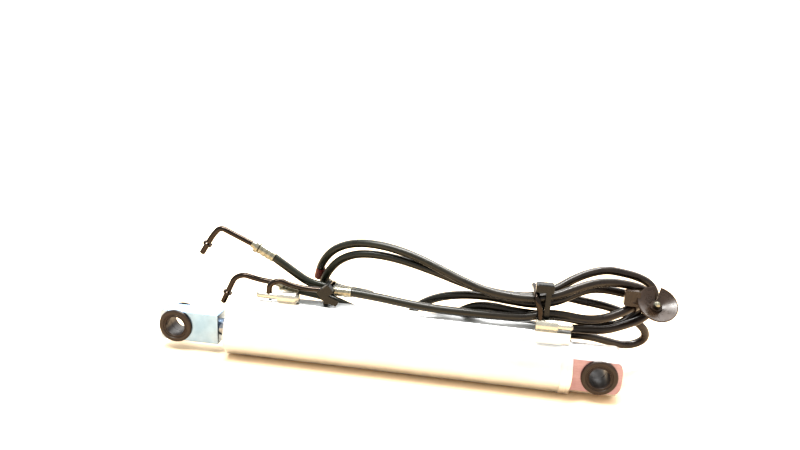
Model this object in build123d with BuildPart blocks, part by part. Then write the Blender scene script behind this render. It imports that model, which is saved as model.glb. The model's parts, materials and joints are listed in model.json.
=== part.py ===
from build123d import *
import math
import os

# Double-acting hydraulic cylinder with two hose lines, millimetres.
# Origin at the centre of the cap-end eye. The barrel lies along X with the rod towards -X,
# both eye bores run along Y, and the hoses lie above and behind the barrel (+Z, +Y).

# --- eyes
EYE_SPACING = 300.0
EYE_BORE_R = 7.0
BUSH_OUTER_R = 9.0
BUSH_FLANGE_R = 12.2
BUSH_FLANGE_T = 2.0
BUSH_SPLIT = 0.15            # half of the gap between the two bushes of an eye

# --- barrel
BARREL_R = 18.35
BORE_R = 14.5
BARREL_HEAD_X = -261.0
BARREL_CAP_X = -19.0
SPINE_HALF_W = 6.0
SPINE_TOP_Z = 26.0
SPINE_X = (-246.0, -21.0)
PORT_HOLE_R = 1.25
HEAD_PORT_X = -231.0
CAP_PORT_X = -34.5

# --- rod, piston and gland
ROD_R = 6.0
ROD_STUD_R = 4.0
ROD_SPIGOT_R = 5.0
PISTON_X = (-52.0, -37.0)
NUT_X = (-36.95, -32.3)
GLAND_X = (-259.0, -236.0)
RUNNING = 0.05               # radial running clearance
SEAL_GAP = 0.02              # radial gap of a seal to the face it wipes
PRESS = 0.01                 # radial allowance between parts that are pressed or screwed together
RING_GROOVE_X = (-260.7, -259.4)
RING_GROOVE_R = 15.4
O_RING_MID_R = 13.25
O_RING_SECTION_R = 1.15
O_RING_GROOVE_R = 12.1
GLAND_GROOVE_X = (-252.6, -249.4)
CAP_GROOVE_X = (-28.2, -25.0)
ROD_SEAL_X = (-244.5, -240.0)
ROD_SEAL_R = 9.0
WIPER_SEAT_X = -254.8
WIPER_SEAT_R = 9.2
WEAR_RING_X = (-50.0, -47.0)
WEAR_RING_R = 13.0
PISTON_SEAL_X = (-44.5, -41.0)
PISTON_SEAL_R = 11.5
NUT_R = 7.5

# --- rod eye block and cap lug
BLOCK_X = (-312.0, -268.0)
BLOCK_HALF_W = 7.0
BLOCK_HALF_H = 11.4
LUG_R = 17.0
LUG_END_X = 15.0
LUG_HALF_W = 12.7
LUG_END_FILLET = 4.6
COLLAR_X = (-26.0, -19.1)
SPIGOT_END_X = -284.5
SPIGOT_HOLE_END_X = -285.0
PLUG_END_X = -31.0

# --- ports, hoses and lines
PORT_Y = -4.8
PORT_Z = 30.2
PORT_BOSS_R = 4.2
PORT_STUB_R = 2.35
HEAD_BOSS_X = (-224.0, -209.0)
HEAD_STUB_X = (-240.0, -224.0)
CAP_BOSS_X = (-45.0, -30.0)
CAP_STUB_X = (-30.0, -20.0)
LINE_R = 2.0
HOSE_R = 3.0
FERRULE_R = 3.7
BEAD_FROM_TIP = 8.8
BEAD_R = 3.3

# Steel tubes from the ports to the hose ferrules.
PORT_TUBE_HEAD = [(-231, -4.8, 32), (-231, -4.6, 38), (-225, -3, 41.5), (-216, -0.5, 37.5),
                  (-205, 0.5, 35.8), (-188, 1, 36.5)]
PORT_TUBE_CAP = [(-42.2, -4.8, 33), (-43.2, -6, 41), (-45.6, -6, 47.5), (-46.2, -1.5, 51.1),
                 (-46.6, 8, 51.3), (-47.5, 16, 50.6), (-44.5, 21.5, 48.3), (-37.5, 23, 45.3)]

# Bent steel tubes at the free ends of the lines, from ferrule to tip.
LINE_END_1 = [(-247, 4.5, 64), (-259, 4.8, 69), (-270.5, 5, 73.8), (-276, 5, 67.5), (-284.5, 5, 53)]
LINE_END_2 = [(-229, 7, 35.5), (-242, 7, 36.6), (-254, 6.6, 39.4), (-260.5, 6, 36.5), (-269, 5, 17)]

# Route of hose A: along the spine, three times round the hank, then the upper arc.
HOSE_A = [
    (-173, 1, 36.5), (-156, 1, 35.3), (-137, 0.5, 33), (-117, 0.5, 31.3), (-95, 0.5, 30.8),
    (-72, 1, 30.8), (-52, 1.5, 31.5), (-38, 2, 36), (-25, 4, 35), (-12, 8, 32), (0, 12.5, 31.5),
    (12, 17, 35), (21, 21, 39.3), (27, 25.5, 42), (25, 32.5, 44.5), (15, 34.5, 45), (4, 31, 47.5),
    (-8, 25.5, 48.5), (-19, 18.5, 46), (-30, 12.5, 41.5), (-45, 10, 38.3), (-62, 13, 38.2),
    (-82, 14.5, 39.5), (-99, 14.5, 38.2), (-114, 16, 34), (-127, 19.5, 25.5),
    (-134.5, 24.5, 14), (-134.5, 29, 2.5), (-127, 31.5, -5), (-116.5, 30.5, -4), (-109.5, 26, 5.5),
    (-105, 20.5, 16), (-96.5, 14, 26.5), (-86, 9.3, 33.3), (-74, 7, 35), (-61, 7, 33),
    (-45, 8.5, 31.8), (-32, 12, 30.8), (-20, 18, 28), (-7, 26, 23), (6.5, 31, 20), (17.5, 34, 21),
    (26, 36.5, 27), (32, 37, 35.5), (34, 33.5, 44.5), (29, 28.5, 51.5), (18, 25, 54.5),
    (6, 21, 56.5), (-7, 15, 56.5), (-20, 8, 53.5), (-32, 3, 49), (-46, 1.5, 45.5),
    (-62, 1.5, 45.2), (-79, 2.2, 47), (-97, 5.5, 52), (-114, 9.5, 58), (-131, 13.5, 63.5),
    (-148, 17, 67), (-165, 20, 68), (-180, 23, 65.5), (-192, 25, 59.5), (-200, 27.5, 50),
    (-204.5, 31, 39), (-199.5, 34, 30.5), (-188, 36, 25), (-176, 36, 24.5), (-165.5, 31, 25.5),
    (-162, 22.5, 28), (-167.5, 15.5, 30), (-177.5, 15.3, 31.6), (-188, 15.2, 32.6),
    (-197, 13.6, 34.2), (-207, 10, 37.5), (-218.5, 7.8, 46), (-231, 6, 55)]

# Route of hose B: twice round the hank behind the barrel, then the lower arc.
HOSE_B = [
    (-23, 26, 40.5), (-14.5, 28, 38.4), (-5.5, 30, 36.7), (4, 32.8, 34.6), (14.5, 37, 30.8), (24.5, 44, 25),
    (35, 47, 17.5), (41, 51, 10), (41, 54, 3), (34, 54.5, -2), (24, 51, -2), (11, 43, 3.5),
    (-3, 35, 9), (-17, 29.5, 11), (-33, 26.5, 9.5), (-49, 26.3, 6), (-64, 28.5, 1.5),
    (-77, 32, -2.5), (-88, 34.5, 0), (-93.5, 34, 9), (-92, 29, 17), (-84.5, 22.5, 20.5),
    (-74, 18, 20.8), (-62, 16.8, 20), (-49, 16.3, 20.3), (-34, 16.5, 21), (-20, 17.5, 20.5),
    (-7, 19, 20.5), (6, 22, 20), (19, 26.5, 23.5), (31, 31.5, 27), (39.5, 37, 33.5),
    (41.3, 40.8, 43), (36, 39.8, 52), (26, 36.5, 57.3), (14.8, 33.8, 60), (3, 31, 62),
    (-9, 26.5, 60), (-21, 20, 56), (-32, 13.5, 50), (-45, 8.3, 45), (-61, 8.3, 43.6),
    (-78, 8.5, 45), (-97, 11.6, 48.3), (-115, 13.4, 53.3), (-132, 16, 57), (-148, 18.5, 59.5),
    (-163, 20.5, 60), (-176, 22, 58.2), (-187, 23.5, 52.5), (-194.5, 25.5, 44),
    (-199.5, 26, 34.5), (-200, 26.5, 25), (-193.5, 29.5, 16.5), (-183, 31.5, 12.5),
    (-173, 29.5, 12), (-166.5, 23.5, 13.6), (-168, 16.3, 17.2), (-176, 12.3, 20.8),
    (-185.5, 10.9, 25.2), (-195, 10.6, 27.6), (-204, 9.4, 29.6), (-213, 8.5, 31)]

FERRULE_A_START = (-188, 1, 36.5)
FERRULE_B_START = (-37.5, 23, 45.3)
FERRULE_1_START = (-247, 4.5, 64)
FERRULE_2_START = (-229, 7, 35.5)

# --- cable ties, clip and sleeve
TIE_T = 1.0
TIE_LEFT_X = (-192.2, -188.6)
TIE_LEFT_LOOP = [(-2.3, 27.1), (6.3, 27.1), (7.6, 23.6), (10.8, 21.9), (15.1, 24.0), (19.9, 31),
                 (18.6, 37.2), (9, 40.4), (-2.3, 40.0)]
TIE_RIGHT_X = (-39.9, -36.3)
TIE_RIGHT_LOOP = [(-1.9, 34.6), (1.2, 31.2), (7.5, 27.3), (11.5, 27.2), (15.6, 31), (16.6, 46.5),
                  (13.5, 51.9), (-1.9, 51.7)]
DISH_CENTRE = Vector(36.6, 15.0, 45.8)
DISH_NORMAL = Vector(0.08, -0.60, 0.72).normalized()
DISH_R = 13.7

os.makedirs("parts", exist_ok=True)


def along_x(x=0.0, y=0.0, z=0.0):
    """Plane whose normal is +X, with its local x along +Y and its local y along +Z."""
    return Plane(origin=(x, y, z), x_dir=(0, 1, 0), z_dir=(1, 0, 0))


def save(name, label):
    name.part.label = label
    export_step(name.part, f"parts/{label}.step")


def turned(profile, start, direction):
    """Solid of revolution: profile of (axial, radial) points about a line from start."""
    axial = Vector(*direction).normalized()
    side = axial.cross(Vector(0, 0, 1))
    if side.length < 0.1:
        side = Vector(0, 1, 0)
    with BuildPart() as body:
        with BuildSketch(Plane(origin=start, x_dir=axial, z_dir=side.normalized())):
            with BuildLine():
                Polyline(*profile, close=True)
            make_face()
        revolve(axis=Axis(start, axial))
    return body


def ring(x0, x1, inner_r, outer_r):
    """Plain ring about the cylinder's own axis."""
    with BuildPart() as body:
        with BuildSketch(along_x(x0)):
            Circle(outer_r)
            Circle(inner_r, mode=Mode.SUBTRACT)
        extrude(amount=x1 - x0)
    return body


def bend_radii(points):
    """Largest radius each corner has room for: 0.45 of the shorter run over tan(half turn)."""
    radii = []
    for before, here, after in zip(points, points[1:], points[2:]):
        run_in = Vector(*here) - Vector(*before)
        run_out = Vector(*after) - Vector(*here)
        half_turn = math.radians(run_in.get_angle(run_out)) / 2
        radii.append(0.45 * min(run_in.length, run_out.length) / math.tan(half_turn))
    return radii


def tube(points, radius, name):
    """Round solid along straight runs joined by tangent arcs, with its section checked."""
    radii = bend_radii(points)
    with BuildPart() as body:
        with BuildLine():
            route = FilletPolyline(*points, radius=radii)
        start = Vector(*points[0])
        with BuildSketch(Plane(origin=start, z_dir=Vector(*points[1]) - start)):
            Circle(radius)
        sweep(path=route)
    length = route.length
    ratio = body.part.volume / (math.pi * radius**2 * length)
    print(f"{name}: length {length:.1f}, volume ratio {ratio:.4f}, tightest {min(radii):.1f}")
    print("   radii " + " ".join(f"{value:.0f}" for value in radii))
    return body


# ---------------------------------------------------------------- barrel and its ends

with BuildPart() as barrel:
    with BuildSketch(along_x(BARREL_HEAD_X)):
        Circle(BARREL_R)
    extrude(amount=BARREL_CAP_X - BARREL_HEAD_X)
    with BuildSketch(along_x(SPINE_X[0])):
        with Locations((0, SPINE_TOP_Z / 2 + 4)):
            Rectangle(2 * SPINE_HALF_W, SPINE_TOP_Z - 8)
    extrude(amount=SPINE_X[1] - SPINE_X[0])
    top_edges = barrel.edges().filter_by(Axis.X).group_by(Axis.Z)[-1]
    fillet(top_edges, radius=0.8)
    end_edges = barrel.edges().filter_by(GeomType.CIRCLE).group_by(Axis.X)[0]
    chamfer(end_edges, length=0.8)
    with BuildSketch(along_x(BARREL_HEAD_X)):
        Circle(BORE_R)
    extrude(amount=BARREL_CAP_X - BARREL_HEAD_X, mode=Mode.SUBTRACT)
    with BuildSketch(along_x(RING_GROOVE_X[0])):
        Circle(RING_GROOVE_R)
    extrude(amount=RING_GROOVE_X[1] - RING_GROOVE_X[0], mode=Mode.SUBTRACT)
    with BuildSketch(Plane.XY.offset(10)):
        with Locations((HEAD_PORT_X, PORT_Y + 2.5), (CAP_PORT_X, PORT_Y + 2.5)):
            Circle(PORT_HOLE_R)
    extrude(amount=SPINE_TOP_Z - 10, mode=Mode.SUBTRACT)
save(barrel, "barrel")

GLAND_R = BORE_R - 0.03
gland_profile = [
    (GLAND_X[0], WIPER_SEAT_R), (GLAND_X[0], GLAND_R), (GLAND_GROOVE_X[0], GLAND_R),
    (GLAND_GROOVE_X[0], O_RING_GROOVE_R), (GLAND_GROOVE_X[1], O_RING_GROOVE_R),
    (GLAND_GROOVE_X[1], GLAND_R), (GLAND_X[1] - 0.6, GLAND_R), (GLAND_X[1], GLAND_R - 0.6),
    (GLAND_X[1], ROD_R + RUNNING), (ROD_SEAL_X[1], ROD_R + RUNNING), (ROD_SEAL_X[1], ROD_SEAL_R),
    (ROD_SEAL_X[0], ROD_SEAL_R), (ROD_SEAL_X[0], ROD_R + RUNNING),
    (WIPER_SEAT_X, ROD_R + RUNNING), (WIPER_SEAT_X, WIPER_SEAT_R)]
head_gland = turned(gland_profile, (0, 0, 0), (1, 0, 0))
save(head_gland, "head_gland")

seal_profile = [
    (ROD_SEAL_X[0] + 0.1, ROD_R + SEAL_GAP), (ROD_SEAL_X[0] + 0.1, ROD_SEAL_R - 0.05),
    (ROD_SEAL_X[1] - 0.1, ROD_SEAL_R - 0.05), (ROD_SEAL_X[1] - 0.6, ROD_SEAL_R - 1.4),
    (ROD_SEAL_X[1] - 1.6, ROD_SEAL_R - 1.8), (ROD_SEAL_X[1] - 0.2, ROD_R + SEAL_GAP)]
rod_seal = turned(seal_profile, (0, 0, 0), (1, 0, 0))
save(rod_seal, "rod_seal")

wiper_profile = [
    (WIPER_SEAT_X - 0.1, WIPER_SEAT_R - 0.05), (WIPER_SEAT_X - 0.1, ROD_R + 0.5),
    (WIPER_SEAT_X - 1.8, ROD_R + SEAL_GAP), (WIPER_SEAT_X - 8.0, ROD_R + SEAL_GAP),
    (WIPER_SEAT_X - 9.0, ROD_R + 0.5), (WIPER_SEAT_X - 9.0, WIPER_SEAT_R + 0.2),
    (WIPER_SEAT_X - 8.1, WIPER_SEAT_R + 1.0), (GLAND_X[0] - 0.1, WIPER_SEAT_R + 1.0),
    (GLAND_X[0] - 0.1, WIPER_SEAT_R - 0.05)]
rod_wiper = turned(wiper_profile, (0, 0, 0), (1, 0, 0))
save(rod_wiper, "rod_wiper")

with BuildPart() as gland_o_ring:
    with BuildSketch(Plane.XY):
        with Locations(((GLAND_GROOVE_X[0] + GLAND_GROOVE_X[1]) / 2, O_RING_MID_R)):
            Circle(O_RING_SECTION_R)
    revolve(axis=Axis.X)
save(gland_o_ring, "gland_o_ring")

# Spring ring with a gap at the bottom, sprung into the groove at the head end of the bore.
with BuildPart() as gland_retaining_ring:
    with BuildSketch(along_x(RING_GROOVE_X[0] + 0.1)):
        Circle(RING_GROOVE_R - 0.05)
        Circle(12.6, mode=Mode.SUBTRACT)
        with Locations((0, -14)):
            Rectangle(5, 6, mode=Mode.SUBTRACT)
        with Locations((-4.4, -12.6), (4.4, -12.6)):
            Circle(1.6)
        with Locations((-4.4, -12.6), (4.4, -12.6)):
            Circle(0.75, mode=Mode.SUBTRACT)
    extrude(amount=1.1)
save(gland_retaining_ring, "gland_retaining_ring")

# End cap: a plug in the bore, and a round lug with a flat milled on each side for the eye.
with BuildPart() as end_cap:
    with BuildSketch(Plane.XY):
        with BuildLine():
            Polyline((PLUG_END_X, 0), (PLUG_END_X, BORE_R - 0.6), (PLUG_END_X + 0.6, BORE_R - 0.02),
                     (CAP_GROOVE_X[0], BORE_R - 0.02), (CAP_GROOVE_X[0], O_RING_GROOVE_R),
                     (CAP_GROOVE_X[1], O_RING_GROOVE_R), (CAP_GROOVE_X[1], BORE_R - 0.02),
                     (BARREL_CAP_X, BORE_R - 0.02), (BARREL_CAP_X, LUG_R), (LUG_END_X, LUG_R),
                     (LUG_END_X, 0), close=True)
        make_face()
    revolve(axis=Axis.X)
    far_edge = end_cap.edges().filter_by(GeomType.CIRCLE).group_by(Axis.X)[-1]
    fillet(far_edge, radius=LUG_END_FILLET)
    for side in (-1, 1):
        with BuildSketch(Plane.XZ.offset(-side * LUG_HALF_W)):
            with Locations((LUG_END_X / 2 - 8.5, 0)):
                Rectangle(LUG_END_X + 19.6, 2 * LUG_R + 2)
        extrude(amount=-side * 6, mode=Mode.SUBTRACT)
    with BuildSketch(Plane.XZ.offset(-30)):
        Circle(BUSH_OUTER_R + PRESS)
    extrude(amount=60, mode=Mode.SUBTRACT)
save(end_cap, "end_cap")

with BuildPart() as cap_o_ring:
    with BuildSketch(Plane.XY):
        with Locations(((CAP_GROOVE_X[0] + CAP_GROOVE_X[1]) / 2, O_RING_MID_R)):
            Circle(O_RING_SECTION_R)
    revolve(axis=Axis.X)
save(cap_o_ring, "cap_o_ring")

with BuildPart() as cap_collar:
    with BuildSketch(along_x(COLLAR_X[0])):
        Circle(BARREL_R + 0.65)
        Circle(BARREL_R + PRESS, mode=Mode.SUBTRACT)
        with Locations((0, BARREL_R)):
            Rectangle(2 * SPINE_HALF_W + 1.2, 12, mode=Mode.SUBTRACT)
    extrude(amount=COLLAR_X[1] - COLLAR_X[0])
save(cap_collar, "cap_collar")

# ---------------------------------------------------------------- eyes and bushes


def eye_bush(x, half_width, side):
    """Flanged plain bush, pushed into an eye from one side (side -1 is the front)."""
    face = half_width + 0.05
    outer = face + BUSH_FLANGE_T
    profile = [(BUSH_SPLIT, EYE_BORE_R), (BUSH_SPLIT, BUSH_OUTER_R), (face, BUSH_OUTER_R),
               (face, BUSH_FLANGE_R - 0.4), (face + 0.4, BUSH_FLANGE_R), (outer - 1.0, BUSH_FLANGE_R),
               (outer - 0.5, BUSH_FLANGE_R - 0.25), (outer - 0.15, BUSH_FLANGE_R - 0.7),
               (outer, BUSH_FLANGE_R - 1.3), (outer, EYE_BORE_R + 2.2), (outer - 0.5, EYE_BORE_R + 1.8),
               (outer - 0.5, EYE_BORE_R + 1.2), (outer - 0.1, EYE_BORE_R + 0.8),
               (outer - 0.1, EYE_BORE_R + 0.5), (outer - 0.6, EYE_BORE_R)]
    return turned(profile, (x, 0, 0), (0, side, 0))


with BuildPart() as rod_eye_block:
    with BuildSketch(Plane.XZ.offset(-BLOCK_HALF_W)):
        with Locations(((BLOCK_X[0] + BLOCK_X[1]) / 2, 0)):
            Rectangle(BLOCK_X[1] - BLOCK_X[0], 2 * BLOCK_HALF_H)
    extrude(amount=2 * BLOCK_HALF_W)
    left_edges = rod_eye_block.edges().filter_by(Axis.Y).group_by(Axis.X)[0]
    fillet(left_edges, radius=3.0)
    right_edges = rod_eye_block.edges().filter_by(Axis.Y).group_by(Axis.X)[-1]
    fillet(right_edges, radius=1.0)
    rim = rod_eye_block.faces().filter_by(Axis.Y).edges()
    chamfer(rim, length=0.5)
    with BuildSketch(Plane.XZ.offset(-30)):
        with Locations((-EYE_SPACING, 0)):
            Circle(BUSH_OUTER_R + PRESS)
    extrude(amount=60, mode=Mode.SUBTRACT)
    with BuildSketch(along_x(SPIGOT_HOLE_END_X)):
        Circle(ROD_SPIGOT_R + PRESS)
    extrude(amount=BLOCK_X[1] - SPIGOT_HOLE_END_X, mode=Mode.SUBTRACT)
save(rod_eye_block, "rod_eye_block")

for eye, centre_x, half_width in (("rod", -EYE_SPACING, BLOCK_HALF_W), ("cap", 0.0, LUG_HALF_W)):
    for side_name, side in (("front", -1), ("rear", 1)):
        bush = eye_bush(centre_x, half_width, side)
        save(bush, f"{eye}_bush_{side_name}")

# ---------------------------------------------------------------- rod and piston

rod_profile = [
    (SPIGOT_END_X, 0), (SPIGOT_END_X, ROD_SPIGOT_R - 0.5), (SPIGOT_END_X + 0.5, ROD_SPIGOT_R),
    (BLOCK_X[1], ROD_SPIGOT_R),
    (BLOCK_X[1], ROD_R), (PISTON_X[0] - 0.05, ROD_R), (PISTON_X[0] - 0.05, ROD_STUD_R),
    (NUT_X[1] - 0.6, ROD_STUD_R), (NUT_X[1], ROD_STUD_R - 0.6), (NUT_X[1], 0)]
piston_rod = turned(rod_profile, (0, 0, 0), (1, 0, 0))
save(piston_rod, "piston_rod")

PISTON_R = BORE_R - RUNNING
piston_profile = [
    (PISTON_X[0], ROD_STUD_R + 0.02), (PISTON_X[0], PISTON_R - 0.6), (PISTON_X[0] + 0.6, PISTON_R),
    (WEAR_RING_X[0], PISTON_R), (WEAR_RING_X[0], WEAR_RING_R), (WEAR_RING_X[1], WEAR_RING_R),
    (WEAR_RING_X[1], PISTON_R), (PISTON_SEAL_X[0], PISTON_R), (PISTON_SEAL_X[0], PISTON_SEAL_R),
    (PISTON_SEAL_X[1], PISTON_SEAL_R), (PISTON_SEAL_X[1], PISTON_R), (PISTON_X[1] - 0.6, PISTON_R),
    (PISTON_X[1], PISTON_R - 0.6), (PISTON_X[1], ROD_STUD_R + 0.02)]
piston = turned(piston_profile, (0, 0, 0), (1, 0, 0))
save(piston, "piston")

piston_seal = ring(PISTON_SEAL_X[0] + 0.1, PISTON_SEAL_X[1] - 0.1, PISTON_SEAL_R + 0.05,
                   BORE_R - SEAL_GAP)
save(piston_seal, "piston_seal")

piston_wear_ring = ring(WEAR_RING_X[0] + 0.1, WEAR_RING_X[1] - 0.1, WEAR_RING_R + 0.05,
                        BORE_R - SEAL_GAP)
save(piston_wear_ring, "piston_wear_ring")

with BuildPart() as piston_nut:
    with BuildSketch(along_x(NUT_X[0])):
        RegularPolygon(radius=NUT_R, side_count=6)
        Circle(ROD_STUD_R + PRESS, mode=Mode.SUBTRACT)
    extrude(amount=NUT_X[1] - NUT_X[0])
save(piston_nut, "piston_nut")

# ---------------------------------------------------------------- ports


def port_boss(x0, x1, bevel):
    """Round port block lying along the spine, with a flat foot on the spine's top."""
    with BuildPart() as body:
        with BuildSketch(along_x(x0, PORT_Y, PORT_Z)):
            Circle(PORT_BOSS_R)
        extrude(amount=x1 - x0)
        ends = body.edges().filter_by(GeomType.CIRCLE).group_by(Axis.X)[-1]
        chamfer(ends, length=bevel)
        with BuildSketch(along_x(x0)):
            with Locations((PORT_Y + 2.6, (SPINE_TOP_Z + PORT_Z) / 2)):
                Rectangle(5.2, PORT_Z - SPINE_TOP_Z)
        extrude(amount=x1 - x0 - bevel)
    return body


def port_stub(x0, x1, closed_end):
    """Thin round stub beside a port block, with a rounded outer end."""
    with BuildPart() as body:
        with BuildSketch(along_x(x0, PORT_Y, PORT_Z)):
            Circle(PORT_STUB_R)
        extrude(amount=x1 - x0)
        end = body.edges().filter_by(GeomType.CIRCLE).group_by(Axis.X)[closed_end]
        fillet(end, radius=1.6)
    return body


port_boss_head = port_boss(*HEAD_BOSS_X, 2.2)
save(port_boss_head, "port_boss_head")

port_stub_head = port_stub(*HEAD_STUB_X, 0)
save(port_stub_head, "port_stub_head")

port_boss_cap = port_boss(*CAP_BOSS_X, 0.5)
save(port_boss_cap, "port_boss_cap")

port_stub_cap = port_stub(*CAP_STUB_X, -1)
save(port_stub_cap, "port_stub_cap")

port_tube_head = tube(PORT_TUBE_HEAD, LINE_R, "port_tube_head")
save(port_tube_head, "port_tube_head")

port_tube_cap = tube(PORT_TUBE_CAP, LINE_R, "port_tube_cap")
save(port_tube_cap, "port_tube_cap")

# ---------------------------------------------------------------- hoses and ferrules

hose_a = tube(HOSE_A, HOSE_R, "hose_a")
save(hose_a, "hose_a")

hose_b = tube(HOSE_B, HOSE_R, "hose_b")
save(hose_b, "hose_b")


def ferrule(start, end, collar):
    """Crimped hose ferrule from its tube end to its hose end; collar adds a wrench ring."""
    run = Vector(*end) - Vector(*start)
    length = run.length
    neck = 2.8
    profile = [(0, 0), (0, LINE_R + 0.5), (neck, LINE_R + 0.5)]
    if collar:
        profile += [(neck, FERRULE_R + 0.6), (neck + 2.6, FERRULE_R + 0.6), (neck + 3.0, 3.0)]
    body_x = profile[-1][0]
    profile += [(body_x, FERRULE_R - 0.3), (body_x + 0.5, FERRULE_R)]
    groove_count = 3
    pitch = (length - body_x - 1.0) / groove_count
    for number in range(groove_count):
        groove_x = body_x + 0.5 + pitch * (number + 0.35)
        profile += [(groove_x, FERRULE_R), (groove_x + 0.3, FERRULE_R - 0.3),
                    (groove_x + 1.0, FERRULE_R - 0.3), (groove_x + 1.3, FERRULE_R)]
    profile += [(length - 0.3, FERRULE_R), (length, FERRULE_R - 0.3), (length, 0)]
    return turned(profile, start, tuple(run))


for label, start, end, collar in (
        ("ferrule_hose_a", FERRULE_A_START, HOSE_A[0], False),
        ("ferrule_hose_b", FERRULE_B_START, HOSE_B[0], False),
        ("ferrule_line_1", FERRULE_1_START, HOSE_A[-1], True),
        ("ferrule_line_2", FERRULE_2_START, HOSE_B[-1], True)):
    ferrule_part = ferrule(start, end, collar)
    save(ferrule_part, label)


def line_end(points):
    """Bent steel tube with a formed bead near its tip and a chamfered nose."""
    tip = Vector(*points[-1])
    back = (Vector(*points[-2]) - tip).normalized()
    bead_at = tip + back * BEAD_FROM_TIP
    with BuildPart() as body:
        with BuildLine():
            route = FilletPolyline(*points, radius=bend_radii(points))
        with BuildSketch(Plane(origin=points[0], z_dir=Vector(*points[1]) - Vector(*points[0]))):
            Circle(LINE_R)
        sweep(path=route)
        nose = body.edges().filter_by(GeomType.CIRCLE).sort_by_distance(tip)[0]
        chamfer(nose, length=0.6)
        with BuildSketch(Plane(origin=bead_at, x_dir=back, z_dir=back.cross(Vector(1, 0, 0)))):
            with BuildLine():
                Polyline((-1.4, 0), (-1.4, LINE_R), (-0.7, BEAD_R), (0.7, BEAD_R), (1.4, LINE_R),
                         (1.4, 0), close=True)
            make_face()
        revolve(axis=Axis(bead_at, back))
    return body


line_end_1 = line_end(LINE_END_1)
save(line_end_1, "line_end_1")

line_end_2 = line_end(LINE_END_2)
save(line_end_2, "line_end_2")

# ---------------------------------------------------------------- ties, sleeve and clip


def strap(outline, x_range):
    """Flat strap round a closed outline, as a solid between two offset outlines."""
    with BuildPart() as body:
        for amount, mode in ((TIE_T / 2, Mode.ADD), (-TIE_T / 2, Mode.SUBTRACT)):
            with BuildSketch(along_x(x_range[0])):
                with BuildLine():
                    Polyline(*outline, close=True)
                make_face()
                offset(amount=amount, kind=Kind.ARC)
            extrude(amount=x_range[1] - x_range[0], mode=mode)
    return body


with BuildPart() as cable_tie_left:
    add(strap(TIE_LEFT_LOOP, TIE_LEFT_X).part)
    with BuildSketch(Plane(origin=(-190.4, -2.4, 37.4), x_dir=(0.77, 0, 0.64), z_dir=(0, -1, 0))):
        RectangleRounded(10.5, 7.0, 1.2)
    extrude(amount=5.0)
    with BuildSketch(Plane(origin=(-187.6, -4.6, 31.6), x_dir=(0.93, 0, -0.37), z_dir=(0, -1, 0))):
        RectangleRounded(13.0, 4.6, 1.0)
    extrude(amount=1.3)
    with BuildSketch(Plane(origin=(-190.4, -4.6, 33.0), x_dir=(1, 0, 0), z_dir=(0, -1, 0))):
        Rectangle(3.6, 5.0)
    extrude(amount=1.3)
save(cable_tie_left, "cable_tie_left")

with BuildPart() as cable_tie_right:
    add(strap(TIE_RIGHT_LOOP, TIE_RIGHT_X).part)
    with BuildSketch(Plane.XY.offset(53.3)):
        with Locations((-41.2, -3.0)):
            RectangleRounded(12.0, 7.4, 1.2)
    extrude(amount=5.6)
    chamfer(cable_tie_right.edges().group_by(Axis.Z)[-1], length=0.7)
    with BuildSketch(Plane.XY.offset(51.4)):
        with Locations((-38.1, -1.2)):
            Rectangle(3.6, 3.6)
    extrude(amount=3.0)
save(cable_tie_right, "cable_tie_right")

SLEEVE_AT = (-203.6, 31.0, 38.4)
sleeve_profile = [(-4.5, 2.9), (-4.5, HOSE_R + 0.35), (4.5, HOSE_R + 0.35), (4.5, 2.9)]
marker_sleeve = turned(sleeve_profile, SLEEVE_AT, (-2.6, 3.4, -9.2))
save(marker_sleeve, "marker_sleeve")

CLIP_HOSE_AT = (23.6, 23.0, 40.7)
CLIP_HOSE_DIR = (6, 4.5, 2.7)
DISH_X = Vector(0, 0, 1).cross(DISH_NORMAL).normalized()
STEM_R = 2.3

with BuildPart() as clip_saddle:
    with BuildSketch(Plane.XZ.offset(-19.6)):
        with Locations((19.8, 47.6)):
            RectangleRounded(10.4, 11.0, 1.5)
    extrude(amount=4.0)
    add(turned([(-3, HOSE_R - 0.1), (-3, HOSE_R + 1.3), (3, HOSE_R + 1.3), (3, HOSE_R - 0.1)],
               CLIP_HOSE_AT, CLIP_HOSE_DIR).part)
    stem_start = Vector(20.5, 17.6, 44.5)
    stem_run = DISH_CENTRE - DISH_NORMAL * 5.2 - stem_start
    with BuildSketch(Plane(origin=stem_start, z_dir=stem_run)):
        Circle(STEM_R)
    extrude(amount=stem_run.length)
save(clip_saddle, "clip_saddle")

with BuildPart() as clip_dish:
    with BuildSketch(Plane(origin=DISH_CENTRE, x_dir=DISH_X, z_dir=DISH_X.cross(DISH_NORMAL))):
        with BuildLine():
            Polyline((2.0, -4.9), (3.6, -4.9), (DISH_R, 0.0), (DISH_R, 0.9), (DISH_R - 0.6, 0.9),
                     (4.4, -3.4), (4.0, -2.6), (2.0, -2.6), close=True)
        make_face()
    revolve(axis=Axis(DISH_CENTRE, DISH_NORMAL))
    for turn in (0, 180):
        with BuildSketch(Plane(origin=DISH_CENTRE - DISH_NORMAL * 10, x_dir=DISH_X, z_dir=DISH_NORMAL)):
            with Locations(Rotation(0, 0, turn)):
                with BuildLine():
                    Polyline((0.2, 5.2), (-0.2, 15.0), (5.2, 15.0), (1.4, 5.2), close=True)
                make_face()
        extrude(amount=20, mode=Mode.SUBTRACT)
save(clip_dish, "clip_dish")

pin_profile = [(-4.8, 0), (-4.8, 1.95), (-1.4, 1.95), (-1.4, 2.5), (0.4, 2.3), (1.6, 1.2), (1.8, 0)]
clip_pin = turned(pin_profile, tuple(DISH_CENTRE), tuple(DISH_NORMAL))
save(clip_pin, "clip_pin")
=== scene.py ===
import json
import math

import bpy
from mathutils import Matrix, Vector


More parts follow.
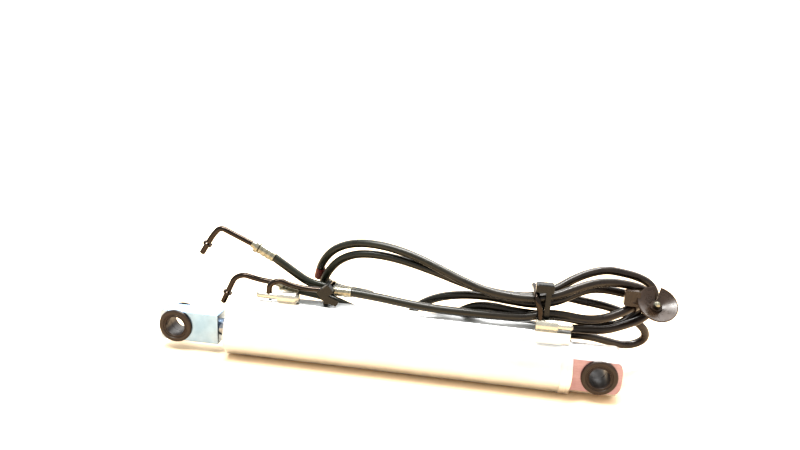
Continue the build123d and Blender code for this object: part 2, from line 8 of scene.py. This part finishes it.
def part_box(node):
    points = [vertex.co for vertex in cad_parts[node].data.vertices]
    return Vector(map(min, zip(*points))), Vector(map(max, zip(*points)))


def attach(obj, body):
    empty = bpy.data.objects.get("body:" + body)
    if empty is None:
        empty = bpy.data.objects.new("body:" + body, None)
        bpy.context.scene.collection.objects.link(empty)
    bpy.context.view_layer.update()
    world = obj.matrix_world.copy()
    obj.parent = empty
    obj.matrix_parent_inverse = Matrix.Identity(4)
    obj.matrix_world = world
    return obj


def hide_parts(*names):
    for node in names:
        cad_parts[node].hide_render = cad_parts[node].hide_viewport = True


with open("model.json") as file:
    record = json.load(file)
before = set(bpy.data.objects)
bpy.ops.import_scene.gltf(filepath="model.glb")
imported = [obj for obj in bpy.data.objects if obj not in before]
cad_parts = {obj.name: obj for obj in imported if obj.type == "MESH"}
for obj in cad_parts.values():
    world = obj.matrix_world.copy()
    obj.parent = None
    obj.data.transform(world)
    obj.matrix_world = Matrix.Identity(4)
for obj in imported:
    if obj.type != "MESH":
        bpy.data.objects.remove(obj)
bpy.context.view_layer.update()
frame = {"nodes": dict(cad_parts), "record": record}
nodes = frame["nodes"]

MM = 0.001

# --- camera, placed in the part's own frame (metres and degrees)
CAMERA_AT = (-0.0855, -0.4534, 0.2123)
CAMERA_YAW = 7.06
CAMERA_PITCH = 15.11
CAMERA_ROLL = 3.47
LENS_MM = 31.5
SENSOR_MM = 36.0
CLIP_START = 0.01

# --- lights and world
MIDDLE = (-0.14, 0, 0.01)
KEY_AT = (-0.16, 0.02, 1.10)
KEY_SIZE = (1.3, 0.20)
KEY_WATTS = 25.0
KEY_COLOR = (1.0, 0.99, 0.97)
BACKDROP_AT = (-0.1, 2.6, 1.8)
BACKDROP_TARGET = (-0.1, 2.9, 0)
BACKDROP_SIZE = (6.0, 3.0)
BACKDROP_WATTS = 190.0
BACKDROP_COLOR = (1.0, 1.0, 1.0)
WORLD_COLOR = (1.0, 0.99, 0.975, 1)
WORLD_STRENGTH = 1.05

# --- floor
FLOOR_CENTRE = (-0.15, 0.0)
FLOOR_SIZE = 12.0
FLOOR_GAP = 0.0002
FLOOR_NEAR = (0.84, 0.67, 0.48, 1)
# painted light: the far floor colour is white so the floor away from the part looks brightly lit
FLOOR_PAINTED_LIT_FAR = (0.97, 0.97, 0.96, 1)
FLOOR_PAINTED_LIGHT_FADE = (0.5, 1.6)       # distances between which the near colour turns into the far one; painted light that whitens the floor far from the part as if brightly lit
FLOOR_ROUGHNESS = 0.75

# --- end cap and hoses
LUG_HALF_W = 12.7 * MM        # where the end cap's milled flats lie, either side of the axis
HOSE_D = 6.0 * MM
HOSE_BROWN_X = (-0.20, 0.04)  # the cover turns from olive to brown along this stretch

# Route of hose A in millimetres: along the spine, three times round the hank, the upper arc.
HOSE_A = [
    (-173, 1, 36.5), (-156, 1, 35.3), (-137, 0.5, 33), (-117, 0.5, 31.3), (-95, 0.5, 30.8),
    (-72, 1, 30.8), (-52, 1.5, 31.5), (-38, 2, 36), (-25, 4, 35), (-12, 8, 32), (0, 12.5, 31.5),
    (12, 17, 35), (21, 21, 39.3), (27, 25.5, 42), (25, 32.5, 44.5), (15, 34.5, 45), (4, 31, 47.5),
    (-8, 25.5, 48.5), (-19, 18.5, 46), (-30, 12.5, 41.5), (-45, 10, 38.3), (-62, 13, 38.2),
    (-82, 14.5, 39.5), (-99, 14.5, 38.2), (-114, 16, 34), (-127, 19.5, 25.5),
    (-134.5, 24.5, 14), (-134.5, 29, 2.5), (-127, 31.5, -5), (-116.5, 30.5, -4), (-109.5, 26, 5.5),
    (-105, 20.5, 16), (-96.5, 14, 26.5), (-86, 9.3, 33.3), (-74, 7, 35), (-61, 7, 33),
    (-45, 8.5, 31.8), (-32, 12, 30.8), (-20, 18, 28), (-7, 26, 23), (6.5, 31, 20), (17.5, 34, 21),
    (26, 36.5, 27), (32, 37, 35.5), (34, 33.5, 44.5), (29, 28.5, 51.5), (18, 25, 54.5),
    (6, 21, 56.5), (-7, 15, 56.5), (-20, 8, 53.5), (-32, 3, 49), (-46, 1.5, 45.5),
    (-62, 1.5, 45.2), (-79, 2.2, 47), (-97, 5.5, 52), (-114, 9.5, 58), (-131, 13.5, 63.5),
    (-148, 17, 67), (-165, 20, 68), (-180, 23, 65.5), (-192, 25, 59.5), (-200, 27.5, 50),
    (-204.5, 31, 39), (-199.5, 34, 30.5), (-188, 36, 25), (-176, 36, 24.5), (-165.5, 31, 25.5),
    (-162, 22.5, 28), (-167.5, 15.5, 30), (-177.5, 15.3, 31.6), (-188, 15.2, 32.6),
    (-197, 13.6, 34.2), (-207, 10, 37.5), (-218.5, 7.8, 46), (-231, 6, 55)]

# Route of hose B in millimetres: twice round the hank behind the barrel, then the lower arc.
HOSE_B = [
    (-23, 26, 40.5), (-14.5, 28, 38.4), (-5.5, 30, 36.7), (4, 32.8, 34.6), (14.5, 37, 30.8), (24.5, 44, 25),
    (35, 47, 17.5), (41, 51, 10), (41, 54, 3), (34, 54.5, -2), (24, 51, -2), (11, 43, 3.5),
    (-3, 35, 9), (-17, 29.5, 11), (-33, 26.5, 9.5), (-49, 26.3, 6), (-64, 28.5, 1.5),
    (-77, 32, -2.5), (-88, 34.5, 0), (-93.5, 34, 9), (-92, 29, 17), (-84.5, 22.5, 20.5),
    (-74, 18, 20.8), (-62, 16.8, 20), (-49, 16.3, 20.3), (-34, 16.5, 21), (-20, 17.5, 20.5),
    (-7, 19, 20.5), (6, 22, 20), (19, 26.5, 23.5), (31, 31.5, 27), (39.5, 37, 33.5),
    (41.3, 40.8, 43), (36, 39.8, 52), (26, 36.5, 57.3), (14.8, 33.8, 60), (3, 31, 62),
    (-9, 26.5, 60), (-21, 20, 56), (-32, 13.5, 50), (-45, 8.3, 45), (-61, 8.3, 43.6),
    (-78, 8.5, 45), (-97, 11.6, 48.3), (-115, 13.4, 53.3), (-132, 16, 57), (-148, 18.5, 59.5),
    (-163, 20.5, 60), (-176, 22, 58.2), (-187, 23.5, 52.5), (-194.5, 25.5, 44),
    (-199.5, 26, 34.5), (-200, 26.5, 25), (-193.5, 29.5, 16.5), (-183, 31.5, 12.5),
    (-173, 29.5, 12), (-166.5, 23.5, 13.6), (-168, 16.3, 17.2), (-176, 12.3, 20.8),
    (-185.5, 10.9, 25.2), (-195, 10.6, 27.6), (-204, 9.4, 29.6), (-213, 8.5, 31)]


# ---------------------------------------------------------------- camera, floor and light


def camera():
    """Camera at the measured place, turned by yaw about Z, then pitch down, then roll."""
    yaw, pitch, roll = (math.radians(a) for a in (CAMERA_YAW, CAMERA_PITCH, CAMERA_ROLL))
    level_right = Vector((math.cos(yaw), math.sin(yaw), 0))
    level_up = Vector((-math.sin(yaw) * math.sin(pitch), math.cos(yaw) * math.sin(pitch),
                       math.cos(pitch)))
    right = level_right * math.cos(roll) + level_up * math.sin(roll)
    up = level_up * math.cos(roll) - level_right * math.sin(roll)
    data = bpy.data.cameras.new("camera")
    data.lens = LENS_MM
    data.sensor_width = SENSOR_MM
    data.clip_start = CLIP_START
    eye = bpy.data.objects.new("camera", data)
    bpy.context.collection.objects.link(eye)
    turn = Matrix((right, up, right.cross(up))).transposed()
    eye.matrix_world = Matrix.Translation(CAMERA_AT) @ turn.to_4x4()
    bpy.context.scene.camera = eye


def area_light(name, at, target, size, power, color):
    """Rectangular light at a place, turned to face a target."""
    data = bpy.data.lights.new(name, "AREA")
    data.shape = "RECTANGLE"
    data.size, data.size_y = size
    data.energy = power
    data.color = color
    light = bpy.data.objects.new(name, data)
    bpy.context.collection.objects.link(light)
    light.location = at
    light.rotation_euler = (Vector(target) - Vector(at)).to_track_quat("-Z", "Y").to_euler()


def floor():
    """Plain pale floor just under the barrel, warm near the part and painted white far from it: painted
    light standing in for a brightly lit far floor.
    """
    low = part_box("barrel")[0]
    bpy.ops.mesh.primitive_plane_add(size=FLOOR_SIZE, location=(*FLOOR_CENTRE, low[2] - FLOOR_GAP))
    plane = bpy.context.object
    plane.name = "floor"
    sh = Shader("floor_pale_painted_light")
    reach = sh.tree.nodes.new("ShaderNodeVectorMath")
    reach.operation = "LENGTH"
    sh.tree.links.new(sh.coord.outputs["Object"], reach.inputs[0])
    # painted light: the colour whitens with distance from the part, standing in for the far floor lit to
    # white
    far = sh.remap(reach.outputs["Value"], 0.0, 1.0, *FLOOR_PAINTED_LIGHT_FADE)
    sh.color(sh.mix(far, FLOOR_NEAR, FLOOR_PAINTED_LIT_FAR))
    sh.out.inputs["Roughness"].default_value = FLOOR_ROUGHNESS
    plane.data.materials.append(sh.mat)


def studio():
    """White world, a long key light straight overhead and a light on the floor behind the part."""
    world = bpy.data.worlds.new("studio")
    bpy.context.scene.world = world
    world.use_nodes = True
    background = world.node_tree.nodes["Background"]
    background.inputs["Color"].default_value = WORLD_COLOR
    background.inputs["Strength"].default_value = WORLD_STRENGTH
    area_light("key", KEY_AT, MIDDLE, KEY_SIZE, KEY_WATTS, KEY_COLOR)
    area_light("backdrop", BACKDROP_AT, BACKDROP_TARGET, BACKDROP_SIZE, BACKDROP_WATTS, BACKDROP_COLOR)
    bpy.context.scene.view_settings.view_transform = "Standard"
    bpy.context.scene.view_settings.look = "High Contrast"


# ---------------------------------------------------------------- materials


class Shader:
    """A Principled material with small helpers for the noise that colours and roughens it."""

    def __init__(self, name, metallic=0.0, ior=1.45):
        self.mat = bpy.data.materials.new(name)
        self.mat.use_nodes = True
        self.tree = self.mat.node_tree
        self.out = self.tree.nodes["Principled BSDF"]
        self.out.inputs["Metallic"].default_value = metallic
        self.out.inputs["IOR"].default_value = ior
        self.coord = self.tree.nodes.new("ShaderNodeTexCoord")

    def place(self, scale):
        """Object coordinates, stretched."""
        mapping = self.tree.nodes.new("ShaderNodeMapping")
        mapping.inputs["Scale"].default_value = scale
        self.tree.links.new(self.coord.outputs["Object"], mapping.inputs["Vector"])
        return mapping.outputs["Vector"]

    def noise(self, size, stretch=(1, 1, 1), detail=4.0, rough=0.6):
        """Noise whose features are about size metres across."""
        tex = self.tree.nodes.new("ShaderNodeTexNoise")
        tex.inputs["Scale"].default_value = 1.0 / size
        tex.inputs["Detail"].default_value = detail
        tex.inputs["Roughness"].default_value = rough
        self.tree.links.new(self.place(stretch), tex.inputs["Vector"])
        return tex.outputs["Fac"]

    def ramp(self, fac, stops):
        """Colour ramp through (position, (r, g, b)) stops."""
        node = self.tree.nodes.new("ShaderNodeValToRGB")
        elements = node.color_ramp.elements
        while len(elements) < len(stops):
            elements.new(0.5)
        for element, (position, color) in zip(elements, stops):
            element.position = position
            element.color = (*color, 1)
        self.tree.links.new(fac, node.inputs["Fac"])
        return node.outputs["Color"]

    def mix(self, fac, first, second, blend="MIX"):
        node = self.tree.nodes.new("ShaderNodeMix")
        node.data_type = "RGBA"
        node.blend_type = blend
        sockets = ((node.inputs["Factor"], fac), (node.inputs[6], first), (node.inputs[7], second))
        for socket, value in sockets:
            if hasattr(value, "is_linked"):
                self.tree.links.new(value, socket)
            else:
                socket.default_value = value
        return node.outputs[2]

    def remap(self, fac, low, high, from_low=0.3, from_high=0.7):
        node = self.tree.nodes.new("ShaderNodeMapRange")
        node.inputs["From Min"].default_value = from_low
        node.inputs["From Max"].default_value = from_high
        node.inputs["To Min"].default_value = low
        node.inputs["To Max"].default_value = high
        self.tree.links.new(fac, node.inputs["Value"])
        return node.outputs["Result"]

    def color(self, socket):
        self.tree.links.new(socket, self.out.inputs["Base Color"])

    def roughness(self, socket):
        self.tree.links.new(socket, self.out.inputs["Roughness"])

    def bumps(self, layers):
        """Stacked bump nodes from (height, strength, distance) layers."""
        normal = None
        for height, strength, distance in layers:
            node = self.tree.nodes.new("ShaderNodeBump")
            node.inputs["Strength"].default_value = strength
            node.inputs["Distance"].default_value = distance
            self.tree.links.new(height, node.inputs["Height"])
            if normal is not None:
                self.tree.links.new(normal, node.inputs["Normal"])
            normal = node.outputs["Normal"]
        self.tree.links.new(normal, self.out.inputs["Normal"])


def tint(color, factor):
    return tuple(min(1.0, c * factor) for c in color)


def metal(name, color, rough, grain_stretch, grain=0.0006, wear=0.06, bump=0.12):
    """Metal with a directional grain, cloudy tarnish and fine scratches."""
    sh = Shader(name, metallic=1.0)
    cloud = sh.noise(0.012, detail=5)
    lines = sh.noise(grain, stretch=grain_stretch, detail=3, rough=0.7)
    base = sh.ramp(cloud, [(0.32, tint(color, 1 - wear)), (0.55, color), (0.75, tint(color, 1 + wear / 2))])
    streak = sh.ramp(lines, [(0.35, (0.90, 0.90, 0.90)), (0.6, (1, 1, 1))])
    sh.color(sh.mix(0.6, base, streak, "MULTIPLY"))
    sh.roughness(sh.remap(lines, rough * 0.8, rough * 1.25))
    sh.bumps([(lines, bump, 0.00004), (cloud, 0.05, 0.0003)])
    return sh.mat


def plastic(name, color, rough, grain=0.0004, bump=0.15, speckle=0.2):
    """Moulded plastic: faint texture, uneven gloss and a little dust."""
    sh = Shader(name)
    fine = sh.noise(grain, detail=3)
    cloud = sh.noise(0.006, detail=4)
    dust = sh.noise(0.0011, detail=2)
    base = sh.ramp(cloud, [(0.3, tint(color, 0.75)), (0.7, tint(color, 1.3))])
    specks = sh.ramp(dust, [(0.66, (0, 0, 0)), (0.76, (speckle, speckle, speckle))])
    sh.color(sh.mix(specks, base, (*tint(color, 2.2), 1)))
    sh.roughness(sh.remap(cloud, rough * 0.8, rough * 1.3))
    sh.bumps([(fine, bump, 0.00006), (cloud, 0.08, 0.0003)])
    return sh.mat


def drawn_aluminium():
    """Barrel: satin drawn tube, streaked along X, with cloudy patches and rub marks."""
    sh = Shader("barrel_aluminium", metallic=1.0)
    lines = sh.noise(0.0007, stretch=(0.02, 1, 1), detail=4, rough=0.75)
    cloud = sh.noise(0.022, stretch=(0.6, 1, 1), detail=5)
    scuffs = sh.noise(0.0022, stretch=(0.25, 1, 1.6), detail=6, rough=0.8)
    base = sh.ramp(cloud, [(0.3, (0.56, 0.57, 0.57)), (0.55, (0.62, 0.63, 0.63)), (0.8, (0.68, 0.69, 0.69))])
    base = sh.mix(sh.ramp(lines, [(0.3, (0.35,) * 3), (0.55, (0, 0, 0))]), base, (0.60, 0.59, 0.57, 1))
    base = sh.mix(sh.ramp(scuffs, [(0.62, (0, 0, 0)), (0.74, (0.5,) * 3)]), base, (0.52, 0.50, 0.47, 1))
    sh.color(base)
    sh.roughness(sh.remap(lines, 0.36, 0.50))
    sh.bumps([(lines, 0.18, 0.00005), (scuffs, 0.06, 0.0001), (cloud, 0.05, 0.0006)])
    return sh.mat


def milled_cap():
    """End cap: pale turned rounds, and two milled side flats that show cutter marks and carry a painted pink
    reflection, warmer and darker than the rounds.
    """
    sh = Shader("cap_aluminium", metallic=1.0)
    position = sh.tree.nodes.new("ShaderNodeSeparateXYZ")
    sh.tree.links.new(sh.coord.outputs["Object"], position.inputs["Vector"])
    depth = sh.tree.nodes.new("ShaderNodeMath")
    depth.operation = "ABSOLUTE"
    sh.tree.links.new(position.outputs["Y"], depth.inputs[0])
    flat = sh.remap(depth.outputs["Value"], 0.0, 1.0, LUG_HALF_W - 0.10 * MM, LUG_HALF_W - 0.02 * MM)
    inside = sh.remap(depth.outputs["Value"], 1.0, 0.0, LUG_HALF_W + 0.02 * MM, LUG_HALF_W + 0.10 * MM)
    mask = sh.mix(1.0, flat, inside, "MULTIPLY")
    turned = sh.noise(0.0011, stretch=(1, 0.1, 0.1), detail=3)
    cutter = sh.noise(0.0006, stretch=(0.10, 1, 1), detail=4, rough=0.7)
    cloud = sh.noise(0.010, detail=5)
    round_color = sh.ramp(cloud, [(0.3, (0.62, 0.60, 0.59)), (0.6, (0.70, 0.69, 0.68))])
    rings = sh.ramp(turned, [(0.35, (0.3,) * 3), (0.55, (0, 0, 0))])
    round_color = sh.mix(rings, round_color, (0.52, 0.49, 0.47, 1))
    # painted reflection: the flats are tinted pink and darker, standing in for a pink reflection on the
    # milled faces; the cutter marks mixed in next are real
    flat_painted_reflection_and_marks = sh.ramp(cloud, [(0.3, (0.27, 0.19, 0.22)), (0.65, (0.33, 0.25, 0.28))])
    marks = sh.ramp(cutter, [(0.35, (0.45,) * 3), (0.6, (0, 0, 0))])
    flat_painted_reflection_and_marks = sh.mix(marks, flat_painted_reflection_and_marks, (0.22, 0.15, 0.17, 1))
    sh.color(sh.mix(mask, round_color, flat_painted_reflection_and_marks))
    sh.roughness(sh.remap(cutter, 0.30, 0.44))
    sh.bumps([(cutter, 0.10, 0.00004), (cloud, 0.05, 0.0004)])
    return sh.mat


def zinc():
    """Blue-passivated zinc: pale, cloudy, drifting from bluish to faintly straw."""
    sh = Shader("zinc_steel", metallic=1.0)
    cloud = sh.noise(0.010, detail=5)
    hue = sh.noise(0.018, stretch=(1, 1, 0.7), detail=2)
    grain = sh.noise(0.0005, stretch=(0.15, 1, 1), detail=4)
    base = sh.ramp(hue, [(0.3, (0.24, 0.35, 0.48)), (0.5, (0.29, 0.39, 0.51)), (0.7, (0.34, 0.39, 0.46))])
    shade = sh.ramp(cloud, [(0.3, (0.86,) * 3), (0.6, (1, 1, 1))])
    sh.color(sh.mix(0.8, base, shade, "MULTIPLY"))
    sh.roughness(sh.remap(grain, 0.26, 0.42))
    sh.bumps([(grain, 0.15, 0.00005), (cloud, 0.06, 0.0004)])
    return sh.mat


def hose_rubber():
    """Thin hose cover: the braid's print shows through, olive grey and browner at the cap end."""
    sh = Shader("hose_rubber", ior=1.5)
    position = sh.tree.nodes.new("ShaderNodeSeparateXYZ")
    sh.tree.links.new(sh.coord.outputs["Object"], position.inputs["Vector"])
    along = sh.remap(position.outputs["X"], 0.0, 1.0, *HOSE_BROWN_X)
    print_size = sh.noise(0.0009, detail=2)
    cloud = sh.noise(0.009, detail=5)
    dust = sh.noise(0.0020, detail=6, rough=0.75)
    base = sh.mix(along, (0.010, 0.012, 0.006, 1), (0.013, 0.006, 0.003, 1))
    shade = sh.ramp(cloud, [(0.3, (0.65,) * 3), (0.7, (1.25, 1.25, 1.25))])
    base = sh.mix(1.0, base, shade, "MULTIPLY")
    sh.color(sh.mix(sh.ramp(dust, [(0.58, (0, 0, 0)), (0.78, (0.45,) * 3)]), base, (0.050, 0.041, 0.028, 1)))
    sh.out.inputs["Specular IOR Level"].default_value = 0.45
    sh.roughness(sh.remap(cloud, 0.24, 0.40))
    sh.bumps([(print_size, 0.35, 0.00010), (dust, 0.15, 0.00008)])
    return sh.mat


def materials():
    """One material a slot. The metals are darker than real ones, to suit this very bright studio."""
    across = (1, 0.05, 0.05)
    along = (0.04, 1, 1)
    even = (1, 1, 1)
    return {
        "barrel_aluminium": drawn_aluminium(),
        "cap_aluminium": milled_cap(),
        "zinc_steel": zinc(),
        "chrome_rod": metal("chrome_rod", (0.24, 0.25, 0.27), 0.12, across, wear=0.04, bump=0.03),
        "dark_steel": metal("dark_steel", (0.050, 0.041, 0.035), 0.10, along, wear=0.25, bump=0.05),
        "port_steel": metal("port_steel", (0.46, 0.44, 0.38), 0.26, even, wear=0.12),
        "ferrule_steel": metal("ferrule_steel", (0.27, 0.26, 0.21), 0.25, even, wear=0.25),
        "bush_plastic": plastic("bush_plastic", (0.026, 0.016, 0.011), 0.36),
        "tie_plastic": plastic("tie_plastic", (0.004, 0.004, 0.003), 0.26),
        "clip_plastic": plastic("clip_plastic", (0.030, 0.019, 0.013), 0.26),
        "hose_rubber": hose_rubber(),
        "seal_rubber": plastic("seal_rubber", (0.020, 0.020, 0.020), 0.50),
        "marker_red": plastic("marker_red", (0.09, 0.010, 0.008), 0.50),
    }


def dress(mats):
    """Every carried-over node takes the material of its slot in the record."""
    for row in frame["record"]["subparts"]:
        mesh = nodes[row["node"]].data
        mesh.materials.clear()
        mesh.materials.append(mats[row["material_slot"]])


# ---------------------------------------------------------------- hoses


def hose(name, points_mm, node, material):
    """Round hose on one open NURBS spline through its route's control points."""
    data = bpy.data.curves.new(name, "CURVE")
    data.dimensions = "3D"
    spline = data.splines.new("NURBS")
    spline.points.add(len(points_mm) - 1)
    for point, place in zip(spline.points, points_mm):
        point.co = (*(value * MM for value in place), 1)
    spline.order_u = 3
    spline.use_endpoint_u = True
    spline.resolution_u = 10
    data.bevel_depth = HOSE_D / 2
    data.bevel_resolution = 6
    data.use_fill_caps = True
    piece = bpy.data.objects.new(name, data)
    bpy.context.collection.objects.link(piece)
    data.materials.append(material)
    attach(piece, "cylinder")
    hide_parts(node)
    return piece


camera()
floor()
studio()
mats = materials()
dress(mats)

hose_a = hose("hose_a_cover", HOSE_A, "hose_a", mats["hose_rubber"])

hose_b = hose("hose_b_cover", HOSE_B, "hose_b", mats["hose_rubber"])
